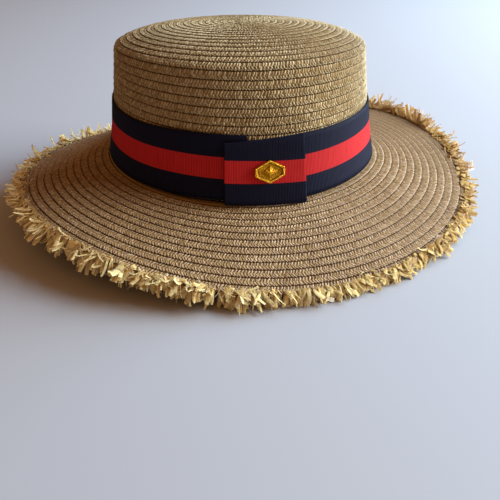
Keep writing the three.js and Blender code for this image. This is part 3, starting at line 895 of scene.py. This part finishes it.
keeper_uv = stacked(keeper_stops * keeper_ribs, keeper_rise / KEEPER_STRIPE_SPAN)
keeper_faces = loop_faces(1, len(keeper_stops), RIBBON_SECTION, joined=True)
keeper = make_piece("keeper_ribbon", keeper_points, keeper_faces, grosgrain, keeper_uv)
dress(keeper, "striped_ribbon", "ribbon_keeper")
print("keeper", round(keeper_length, 4), "m of ribbon")

# %% [markdown]
# ## The badge
# The badge is a pressed gilt plate with six sides, a raised rounded border, a field of fine rays and a
# faceted lozenge. All its outlines are hexagons whose upright sides shrink to nothing at the lozenge,
# so the whole badge is one profile of hexagons, from the middle of its back round the edge to the top
# of the lozenge. Each ring keeps a value that makes low places darker than raised ones, which is painted
# shade in the hollows.

# %% Badge finish
GILT_TINTS = linear(142, 93, 13), linear(226, 174, 48)
SCUFF_SCALE = 1300.0
SCUFF_DETAIL = 3.0
SCUFF_RANGE = 0.3, 0.7
GILT_ROUGHNESS = 0.34, 0.54
GILT_RELIEF = 1.0 * MM

gilt, tree, shader = new_finish("gilt_brass")
scuff = noise(tree, object_place(tree), SCUFF_SCALE, SCUFF_DETAIL)
# Painted shade: the low rings of the badge get the dark gilt tint.
feed(tree, shader, {
    "Base Color": mix_colour(tree, own(tree, "raised"), *GILT_TINTS),
    "Roughness": remap(tree, scuff, *SCUFF_RANGE, *GILT_ROUGHNESS),
    "Metallic": 1.0,
    "Normal": bump(tree, scuff, GILT_RELIEF),
})
print("finish", gilt.name, len(tree.nodes), "nodes")

# %% Rings of the badge
BADGE_WIDTH = 20.4 * MM
BADGE_HEIGHT = 16.0 * MM
BADGE_SIDE = 5.6 * MM
LOZENGE_WIDTH = 11.5 * MM
LOZENGE_HEIGHT = 8.0 * MM
LEAST_SIZE = 0.1 * MM
LEAST_SIDE = 0.02 * MM
EDGE_POINTS = 16
PLATE_INSET = np.array([8.0, 0.25, 0.0, 0.0, 0.25, 0.8, 1.4, 1.65, 1.8, 2.1]) * MM
LOZENGE_SHARE = np.array([1.12, 1.04, 1.0, 0.68, 0.36, 0.2, 0.02])


def hexagons(width, height, side):
    """Points evenly spaced on the six edges of hexagons with two upright sides, one row for each."""
    none = np.zeros_like(width)
    x = stacked(width, width, none, -width, -width, none) / 2
    y = stacked(-side, side, height, side, -side, -height) / 2
    corners = stacked(x, y)[:, :, None]
    share = (np.arange(EDGE_POINTS) / EDGE_POINTS)[:, None]
    return (corners * (1 - share) + np.roll(corners, -1, 1) * share).reshape(len(width), -1, 2)


def ring_sizes(plate, lozenge):
    """One size of every ring: the plate's, drawn in at both ends until it is a point, then the scaled
    lozenge's."""
    return np.concatenate([np.maximum(plate - 2 * PLATE_INSET, LEAST_SIZE), lozenge * LOZENGE_SHARE])


plate_sides = np.maximum(BADGE_SIDE - PLATE_INSET, LEAST_SIDE)
ring_sides = np.concatenate([plate_sides, np.full(len(LOZENGE_SHARE), LEAST_SIDE)])
ring_widths = ring_sizes(BADGE_WIDTH, LOZENGE_WIDTH)
badge_flat = hexagons(ring_widths, ring_sizes(BADGE_HEIGHT, LOZENGE_HEIGHT), ring_sides)
print("badge of", len(badge_flat), "rings")

# %% Badge
RAYS = 48
RAY_DEPTH = 0.16 * MM
BADGE_SHIFT = 2.4 * MM
BADGE_UP = 0.535
UP_STEP = np.array([0.4, 0.6])
BADGE_CREASE = np.radians(35)
PLATE_RISE = 0.0, 0.0, 0.25, 1.6, 2.0, 2.1, 1.9, 1.4, 1.2, 1.2
PLATE_RAYS = 0, 0, 0, 0, 0, 0, 0, 0, 0, 1
# The raised values set how much of the light gilt tint each ring gets; low rings are painted darker as
# painted shade.
PLATE_RAISED = 0.3, 0.5, 0.8, 0.9, 1.0, 1.0, 0.9, 0.3, 0.1, 0.5
LOZENGE_RISE = 1.25, 1.2, 1.3, 1.9, 2.4, 2.6, 2.7
LOZENGE_RAYS = 1, 0, 0, 1.5, 1, 0, 0
LOZENGE_RAISED = 0.5, 0.0, 0.4, 0.8, 1.0, 1.0, 1.0


def unit(vectors):
    """Vectors of length one."""
    return vectors / np.linalg.norm(vectors, axis=-1, keepdims=True)


ring_rise = np.array(PLATE_RISE + LOZENGE_RISE)[:, None] * MM
ring_rays = np.array(PLATE_RAYS + LOZENGE_RAYS)[:, None] * RAY_DEPTH
ring_raised = np.array(PLATE_RAISED + LOZENGE_RAISED)[:, None]
badge_turn = np.arctan2(badge_flat[..., 1], badge_flat[..., 0])
badge_rise = ring_rise + ring_rays * np.cos(RAYS * badge_turn)
badge_raised = np.broadcast_to(ring_raised, badge_rise.shape)
seat = keeper_point(np.array([BADGE_SHIFT]), BADGE_UP, KEEPER_THICKNESS)[0]
aside_ends = keeper_point(np.array([BADGE_SHIFT - MM, BADGE_SHIFT + MM]), BADGE_UP, KEEPER_THICKNESS)
up_ends = keeper_point(np.array([BADGE_SHIFT]), UP_STEP, KEEPER_THICKNESS)
badge_aside = unit(aside_ends[1] - aside_ends[0])
badge_up = unit(up_ends[1] - up_ends[0])
badge_out = np.cross(badge_aside, badge_up)
badge_points = seat + SEAT_GAP * badge_out + badge_flat[..., :1] * badge_aside
badge_points = badge_points + badge_flat[..., 1:] * badge_up + badge_rise[..., None] * badge_out
badge_faces = loop_faces(1, *badge_rise.shape)
badge = make_piece("badge_plate", badge_points, badge_faces, gilt, raised=badge_raised)
badge.data.set_sharp_from_angle(angle=BADGE_CREASE)
dress(badge, "gilt_badge", "badge")

# %% [markdown]
# ## The frayed edge
# The brim's edge is left as loose, curled strips of straw in tufts. Hair curves could make them, but
# strips have to be flat, cupped and torn, so each is a thin flat loop of points carried along its own
# bent path. All paths are worked out at once: a direction that turns a little at every step, summed up
# along the strip. How long the strips are, how far they rise or droop and how much of the edge they
# cover changes slowly round the turn, as it does on a brim that has been handled.

# %% Frayed straw finish
FRAY_TINTS = linear(166, 128, 70), linear(246, 217, 149)
# Painted shade: strips are darker and browner near their roots, where they lie in the brim's shade.
ROOT_SHADE_TINT = linear(174, 130, 70)
ROOT_SHADE_SHARE = 0.55
ROOT_SHADE_REACH = 0.35
FRAY_STREAKS = 4.0
FRAY_RELIEF = 0.2 * MM
FRAY_GLOSS = 0.02
FRAY_IOR = 1.02
FRAY_GLOW = 0.7
FRAY_GLOW_RADIUS = (1.0, 0.9, 0.8)
FRAY_GLOW_DEPTH = 1.0 * MM

frayed, tree, shader = new_finish("frayed_straw")
place = weave_map(tree)
_, along = split(tree, place)
fibre = straw(tree, place, own(tree, "tone"), FRAY_TINTS, FRAY_STREAKS)
# Painted shade near the root, fading out along the strip.
root_shade = remap(tree, along, 0, ROOT_SHADE_REACH, ROOT_SHADE_SHARE, 0)
feed(tree, shader, {
    "Base Color": mix_colour(tree, root_shade, fibre["Colour"], ROOT_SHADE_TINT),
    "Roughness": fibre["Roughness"],
    "Specular IOR Level": FRAY_GLOSS,
    "IOR": FRAY_IOR,
    "Subsurface Weight": FRAY_GLOW,
    "Subsurface Radius": FRAY_GLOW_RADIUS,
    "Subsurface Scale": FRAY_GLOW_DEPTH,
    "Normal": bump(tree, fibre["Height"], FRAY_RELIEF),
})
print("finish", frayed.name, len(tree.nodes), "nodes")

# %% Where the strips start
LOCK_COUNT = 84
LOCK_LENGTH = 12.0 * MM
LOCK_LENGTH_SPREAD = 0.22
LOCK_PLACE_SPREAD = 0.1
LOCK_ROOT_WIDTH = 13.0 * MM
LOCK_LIFT_SPREAD = 4.5 * MM
LOCK_SWEEP_SPREAD = 5.0 * MM
REST_SAG = 8.5 * MM
REST_REACH = 0.95
LENGTH_RANGE = 0.7, 1.2
LIFT_OVER_MM = 0.1, 0.9
LIFT_UNDER_MM = -2.2, -0.6
COVER_UNDER = 1.2 * MM
COVER_SHAPE = 1.4, 2.2
ANGLE_STEP = 0.001
INDEX_STEP = 12.9898
SEED_STEP = 78.233
LARGE_SINE = 43758.5453
FRINGE_FULLNESS = (wave(0, cosine=1.1), wave(1, cosine=-0.06, sine=0.13), wave(2, sine=0.1))
FRINGE_COVER = (wave(0, cosine=4.2 * MM), wave(1, sine=0.6 * MM), wave(2, cosine=0.9 * MM))


def scatter(index, seed):
    """A share from -1 to 1 that looks random but follows from the index: a large sine's fraction."""
    large = np.sin(index * INDEX_STEP + seed * SEED_STEP) * LARGE_SINE
    return 2 * (large - np.floor(large)) - 1


def strip_roots(kind, rng):
    """Start, length and three directions of every strip, with its tuft's sag and sweep. A tuft has its
    own place and reach, and its strips start along its root, over or under the brim's edge. Where the
    edge is low, they sag down to the surface that the hat rests on."""
    lock = np.repeat(np.arange(LOCK_COUNT), kind["per_lock"])
    count = len(lock)
    lock_turn = (lock + LOCK_PLACE_SPREAD * scatter(lock, 1)) / LOCK_COUNT * TURN
    lock_reach = LOCK_LENGTH * (1 - LOCK_LENGTH_SPREAD * np.abs(scatter(lock, 2)))
    turn = lock_turn + rng.uniform(-0.5, 0.5, count) * LOCK_ROOT_WIDTH / BRIM_OUTER
    root_height = edge_height(turn) - STRAW_WALL / 2
    rests = root_height < REST_SAG
    length = lock_reach * np.where(rests, REST_REACH, 1.0) * kind["reach"]
    length = length * wave_sum(FRINGE_FULLNESS, turn) * rng.uniform(*LENGTH_RANGE, count)
    over = rng.random(count) < kind["over"]
    lift = np.where(over, rng.uniform(*LIFT_OVER_MM, count), rng.uniform(*LIFT_UNDER_MM, count)) * MM
    inset = rng.beta(*COVER_SHAPE, count) * np.where(over, wave_sum(FRINGE_COVER, turn), COVER_UNDER)
    edge = brim_point(BRIM_OUTER, turn, lift)
    outwards = unit(edge - brim_point(BRIM_OUTER - MM, turn, lift))
    next_edge = brim_point(BRIM_OUTER, turn + ANGLE_STEP, lift)
    aside = unit(next_edge - brim_point(BRIM_OUTER, turn - ANGLE_STEP, lift))
    upwards = unit(np.cross(outwards, aside))
    return {
        "turn": turn,
        "root": brim_point(BRIM_OUTER - inset, turn, lift),
        "length": length,
        "directions": (outwards, aside, upwards * np.sign(upwards[:, 2:])),
        "sag": np.where(rests, -root_height, LOCK_LIFT_SPREAD * scatter(lock, 4)) / lock_reach,
        "sweep": LOCK_SWEEP_SPREAD * scatter(lock, 3) / lock_reach,
    }


# %% How the strips bend
CURL_MEAN_SPREAD = -0.35, 0.8
CLIMB_MEAN_SPREAD = 0.06, 0.22
CRINKLE_RANGE = 0.6, 1.4
CRINKLE_MOST = 0.45
SIDE_CURL_SPREAD = 0.9
ROOT_TWIST_SPREAD = 0.6
END_TWIST_SPREAD = 1.0
FRINGE_LIFT = (
    wave(0, cosine=-0.05),
    wave(1, cosine=0.1, sine=0.42),
    wave(2, cosine=-0.1, sine=-0.05),
    wave(3, cosine=-0.1, sine=0.1),
)


def strip_bends(kind, roots, step, rng):
    """Angles of every strip at every step. The climb adds up its tuft's sag, its own curl and crinkle
    and the lift round the turn, and the swing its tuft's sweep and a curl sideways. Curl and sag grow
    evenly along the strip, and so does the twist."""
    one_each = (len(roots["turn"]), 1)
    curl = rng.normal(*CURL_MEAN_SPREAD, one_each) * kind["curl"]
    climb = rng.normal(*CLIMB_MEAN_SPREAD, one_each) + (roots["sag"][:, None] + curl) * step
    climb = climb + wave_sum(FRINGE_LIFT, roots["turn"])[:, None]
    crinkle = rng.uniform(*CRINKLE_RANGE, one_each) * step + rng.random(one_each)
    climb = climb + rng.uniform(0, CRINKLE_MOST, one_each) * np.sin(TURN * crinkle)
    side_curl = rng.normal(0, SIDE_CURL_SPREAD, one_each) * kind["curl"]
    swing = roots["sweep"][:, None] + rng.normal(0, kind["swing"], one_each) + side_curl * step
    twist = rng.normal(0, ROOT_TWIST_SPREAD, one_each) + rng.normal(0, END_TWIST_SPREAD, one_each) * step
    return climb, swing, twist * kind["twist"]


def turned(first, second, angle):
    """First vector turned towards the second by an angle, at every step."""
    return np.cos(angle)[..., None] * first + np.sin(angle)[..., None] * second


# %% Strips of the fringe
FRINGE_SEED = 23
FLOOR_CLEAR = 0.1 * MM
STRIP_CREASE = np.radians(60)
END_TAPER_MOST = 0.45
ROOT_TAPER = 0.2
TONE_SHAPE = 3, 3
# Painted light and shade: strips are painted paler on the left, in the hat's shade, and darker on the
# right, which faces the lamps.
FRINGE_PAINTED_LIGHT = (wave(1, cosine=-0.54, sine=-0.3),)
STRIP = {"over": 0.6, "thickness": 0.2 * MM, "reach": 1.05}
FRINGE_KINDS = (
    {**STRIP, "name": "fringe_mat", "per_lock": 14, "rings": 5, "around": 6, "width": 3.0 * MM,
     "spread": 0.3, "cup": 0.1, "swing": 0.5, "curl": 0.6, "twist": 0.25, "pale": 0.8, "over": 0.35,
     "reach": 1.0},
    {**STRIP, "name": "fringe_strips", "per_lock": 15, "rings": 6, "around": 6, "width": 1.9 * MM,
     "spread": 0.5, "cup": 0.1, "swing": 0.7, "curl": 0.9, "twist": 0.45, "pale": 1.0},
    {**STRIP, "name": "fringe_slivers", "per_lock": 12, "rings": 7, "around": 4, "width": 1.0 * MM,
     "spread": 0.3, "cup": 0.16, "swing": 0.8, "curl": 1.0, "twist": 0.6, "pale": 0.9},
    {**STRIP, "name": "fringe_threads", "per_lock": 3, "rings": 6, "around": 3, "width": 0.5 * MM,
     "spread": 0.25, "cup": 0.2, "swing": 0.6, "curl": 1.0, "twist": 0.6, "pale": 0.9,
     "thickness": 0.25 * MM},
)


def fringe(kind, seed):
    """Curled strips in tufts. Each starts at its root in the direction of its tuft. At every step its
    direction is turned by its bends, and the steps are summed. The section, a cupped lens, is turned
    about the path by the strip's own twist."""
    rng = np.random.default_rng((FRINGE_SEED, seed))
    roots = strip_roots(kind, rng)
    count = len(roots["turn"])
    step = np.linspace(0, 1, kind["rings"])[None]
    climb, swing, twist = strip_bends(kind, roots, step, rng)
    outwards, aside, upwards = (direction[:, None] for direction in roots["directions"])
    level = turned(outwards, aside, swing)
    side = turned(aside, -outwards, swing)
    ahead = turned(level, upwards, climb)
    top = turned(upwards, -level, climb)
    middle = np.cumsum(ahead, axis=1) - ahead[:, :1]
    middle = roots["root"][:, None] + middle * (roots["length"] / (kind["rings"] - 1))[:, None, None]
    flat_side = turned(side, top, twist)
    flat_top = turned(top, -side, twist)

    width = kind["width"] * np.exp(rng.normal(0, kind["spread"], (count, 1)))
    taper = 1 - rng.uniform(0, END_TAPER_MOST, (count, 1)) * step**2 - ROOT_TAPER * (1 - step) ** 3
    half = (width * taper / 2)[..., None, None]
    angle = TURN * np.arange(kind["around"]) / kind["around"]
    spread = np.cos(angle)[:, None] * flat_side[:, :, None]
    cupped = (kind["cup"] * width * taper)[..., None] * (1 - np.abs(np.cos(angle)))
    raised = (cupped + kind["thickness"] / 2 * np.sin(angle))[..., None] * flat_top[:, :, None]
    points = middle[:, :, None] + half * spread + raised
    points[..., 2] = np.maximum(points[..., 2], FLOOR_CLEAR)

    tone = kind["pale"] * rng.beta(*TONE_SHAPE, (count, 1, 1))
    # Painted light and shade round the turn.
    tone = tone + wave_sum(FRINGE_PAINTED_LIGHT, roots["turn"])[:, None, None]
    tone = np.broadcast_to(np.clip(tone, 0, 1), points.shape[:3])
    uv = stacked((1 + np.cos(angle)) / 2, step[..., None], tone)[..., :2]
    faces = loop_faces(count, kind["rings"], kind["around"])
    piece = make_piece(kind["name"], points, faces, frayed, uv, tone=tone)
    piece.data.set_sharp_from_angle(angle=STRIP_CREASE)
    dress(piece, "frayed_straw")
    return piece


fringe_pieces = [fringe(kind, number) for number, kind in enumerate(FRINGE_KINDS)]
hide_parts("brim_fringe")

# %% [markdown]
# ## Floor and light
# The hat rests on a plain pale floor. Two large soft lamps stand for a window and the sky outside it,
# both low and on the right. Low light from one side brings out the rows, and a dim, warm room fills the
# shade. Behind the floor one sees a plain pale backdrop instead of the room.

# %% Floor
FLOOR_HALF = 2.0
FLOOR_COLOUR = (0.43, 0.44, 0.45, 1)
FLOOR_ROUGHNESS = 0.85
FLOOR_CORNERS = ((-1, -1), (1, -1), (1, 1), (-1, 1))

pale, tree, shader = new_finish("pale_floor")
feed(tree, shader, {"Base Color": FLOOR_COLOUR, "Roughness": FLOOR_ROUGHNESS})
floor_mesh = bpy.data.meshes.new("floor")
floor_points = [(FLOOR_HALF * x, FLOOR_HALF * y, 0) for x, y in FLOOR_CORNERS]
floor_mesh.from_pydata(floor_points, [], [(0, 1, 2, 3)])
floor_mesh.materials.append(pale)
floor = add_object("floor", floor_mesh)
print("floor", 2 * FLOOR_HALF, "m wide")

# %% Lamps
LAMPS = (
    {"name": "window", "place": (0.0, -1.7, 0.61), "size": 1.2, "power": 61.0,
     "colour": (0.97, 1.02, 1.06)},
    {"name": "sky", "place": (0.659, -1.413, 0.9), "size": 1.5, "power": 46.0,
     "colour": (0.68, 1.0, 1.38)},
)
for lamp in LAMPS:
    light = bpy.data.lights.new(lamp["name"], "AREA")
    light.size = lamp["size"]
    light.energy = lamp["power"]
    light.color = lamp["colour"]
    aim_object(add_object(lamp["name"], light), Vector(lamp["place"]), Vector())
print("lamps", [lamp["name"] for lamp in LAMPS])

# %% Room and backdrop
ROOM_COLOUR = (1.0, 0.486, 0.214, 1)
ROOM_STRENGTH = 0.311
BACKDROP_COLOUR = (0.5, 0.51, 0.53, 1)

world = bpy.data.worlds.new("warm_room")
world.use_nodes = True
tree = world.node_tree
room = tree.nodes["Background"]
feed(tree, room, {"Color": ROOM_COLOUR, "Strength": ROOM_STRENGTH})
backdrop = put(tree, "ShaderNodeBackground", {"Color": BACKDROP_COLOUR, "Strength": 1.0})
seen = put(tree, "ShaderNodeLightPath").outputs["Is Camera Ray"]
shown = put(tree, "ShaderNodeMixShader", {0: seen, 1: room.outputs[0], 2: backdrop.outputs[0]})
feed(tree, tree.nodes["World Output"], {"Surface": shown.outputs[0]})
bpy.context.scene.world = world
bpy.context.scene.view_settings.view_transform = "Standard"
print("world", world.name, len(tree.nodes), "nodes")
